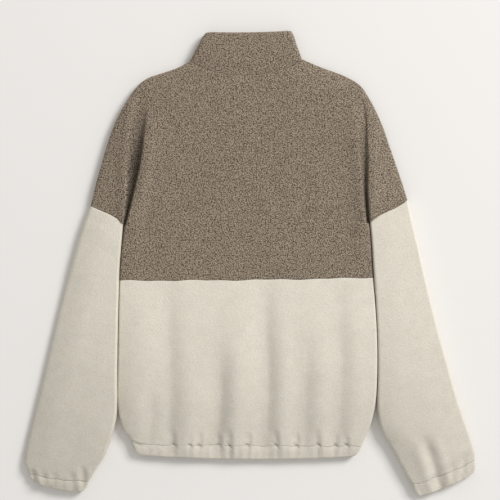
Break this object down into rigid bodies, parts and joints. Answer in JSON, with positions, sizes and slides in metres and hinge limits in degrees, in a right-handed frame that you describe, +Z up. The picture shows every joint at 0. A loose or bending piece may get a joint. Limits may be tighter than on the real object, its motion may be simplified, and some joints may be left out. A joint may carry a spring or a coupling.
{
  "type": "fleece pullover",
  "caption": "Teddy fleece pullover laid flat on its front: taupe upper body with a stand collar, cream lower body and sleeves, gathered hem and cuffs",
  "frame": {"origin": "middle of the bounding box in plan, on the surface that the laid garment rests on", "axes": "+X across the garment to the right as seen from above with the collar away, +Y from the hem towards the collar, +Z up from the surface through the layers to the back of the garment"},
  "size_m": [0.7634, 0.7894, 0.026],
  "materials": {
    "taupe_fleece": "curly teddy pile, matt",
    "cream_fleece": "curly teddy pile, matt"
  },
  "bodies": {
    "root": {"back_upper": "taupe_fleece", "front_upper": "taupe_fleece", "shoulder_left": "taupe_fleece", "shoulder_right": "taupe_fleece", "collar": "taupe_fleece", "back_lower": "cream_fleece", "front_lower": "cream_fleece", "hem_band": "cream_fleece", "sleeve_left": "cream_fleece", "sleeve_right": "cream_fleece", "cuff_left": "cream_fleece", "cuff_right": "cream_fleece"}
  },
  "joints": []
}
